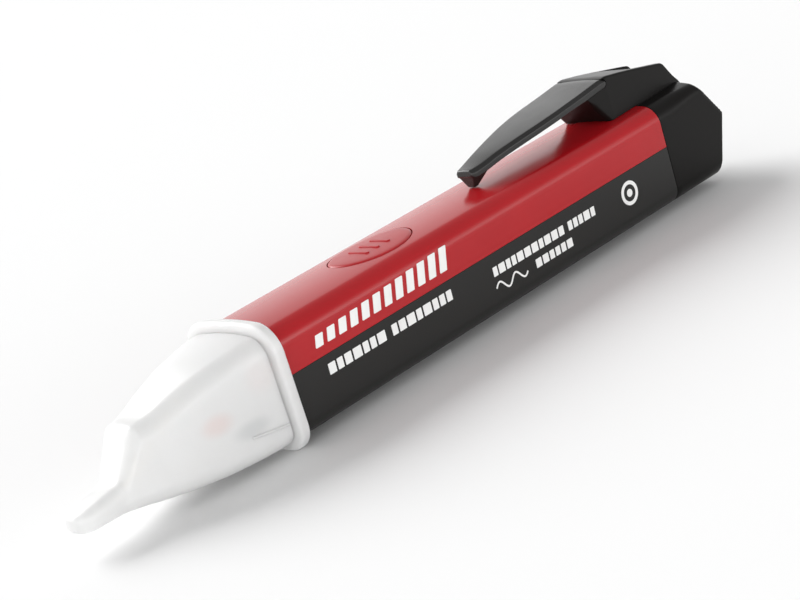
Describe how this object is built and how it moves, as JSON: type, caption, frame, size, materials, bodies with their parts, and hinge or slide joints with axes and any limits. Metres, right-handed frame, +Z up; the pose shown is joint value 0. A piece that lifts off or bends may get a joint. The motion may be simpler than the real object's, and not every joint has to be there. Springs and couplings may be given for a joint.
{
  "type": "non-contact voltage tester",
  "caption": "Pen-shaped non-contact voltage tester: two-part handle with press pad, translucent probe nose, pull-off tail cap with pocket clip, board and cells inside.",
  "frame": {"origin": "under the middle of the bounding box, on the plane that the nose collar's lowest edge touches", "axes": "+X along the pen from the probe tip to the tail cap, +Y across the pen, +Z up through the press pad and the pocket clip"},
  "size_m": [0.159, 0.0236, 0.0294],
  "materials": {
    "nose_clear": "frosted translucent",
    "red_shell": "semi-gloss moulded",
    "black_shell": "satin moulded",
    "black_cap": "satin moulded",
    "black_clip": "semi-gloss moulded",
    "red_pad": "semi-gloss moulded",
    "board_green": "solder mask",
    "housing_black": "moulded",
    "nickel": "nickel plated",
    "plunger_red": "moulded",
    "chip_black": "moulded epoxy",
    "resistor_black": "glazed",
    "capacitor_tan": "plain",
    "buzzer_black": "moulded",
    "lamp_red": "clear tinted epoxy",
    "tinned": "tinned",
    "sensor_brass": "plain",
    "tray_grey": "moulded",
    "spring_steel": "drawn wire",
    "cell_metal": "plain can",
    "cell_sleeve": "printed sleeve, no lettering"
  },
  "bodies": {
    "handle": {"nose_cone": "nose_clear", "upper_shell": "red_shell", "lower_shell": "black_shell", "circuit_board": "board_green", "switch_body": "housing_black", "switch_cover": "nickel", "chip_package": "chip_black", "resistor_1": "resistor_black", "resistor_2": "resistor_black", "resistor_3": "resistor_black", "resistor_4": "resistor_black", "capacitor_1": "capacitor_tan", "capacitor_2": "capacitor_tan", "capacitor_3": "capacitor_tan", "transistor": "chip_black", "buzzer": "buzzer_black", "led_lens": "lamp_red", "led_lead_1": "tinned", "led_lead_2": "tinned", "sensor_strip": "sensor_brass", "battery_tray": "tray_grey", "front_contact": "nickel", "return_strip": "nickel"},
    "cap": {"tail_cap": "black_cap", "cap_contact": "nickel", "cap_spring": "spring_steel"},
    "clip": {"pocket_clip": "black_clip"},
    "button": {"test_button": "red_pad"},
    "plunger": {"switch_plunger": "plunger_red"},
    "front_cell": {"cell_front_can": "cell_metal", "cell_front_nub": "cell_metal", "cell_front_sleeve": "cell_sleeve"},
    "rear_cell": {"cell_rear_can": "cell_metal", "cell_rear_nub": "cell_metal", "cell_rear_sleeve": "cell_sleeve"}
  },
  "joints": [
    {"name": "cap_pull", "type": "slide", "parent": "handle", "child": "cap", "axis": [1, 0, 0], "range_m": [0, 0.075]},
    {"name": "clip_flex", "type": "hinge", "parent": "cap", "child": "clip", "pos_m": [0.05315, 0, 0.02838], "axis": [0, 1, 0], "range_deg": [0, 6], "stiffness_Nm_per_rad": 0.1},
    {"name": "button_press", "type": "slide", "parent": "handle", "child": "button", "axis": [0, 0, -1], "range_m": [0, 0.0005], "stiffness_N_per_m": 150},
    {"name": "plunger_press", "type": "slide", "parent": "handle", "child": "plunger", "axis": [0, 0, -1], "range_m": [0, 0.00025]},
    {"name": "front_cell_slide", "type": "slide", "parent": "handle", "child": "front_cell", "axis": [1, 0, 0], "range_m": [0, 0.045]},
    {"name": "rear_cell_slide", "type": "slide", "parent": "handle", "child": "rear_cell", "axis": [1, 0, 0], "range_m": [0, 0.045]}
  ],
  "couplings": [
    {"joint": "plunger_press", "follows": "button_press", "ratio": 0.5},
    {"joint": "front_cell_slide", "follows": "cap_pull", "ratio": 0.6},
    {"joint": "rear_cell_slide", "follows": "cap_pull", "ratio": 0.6}
  ]
}
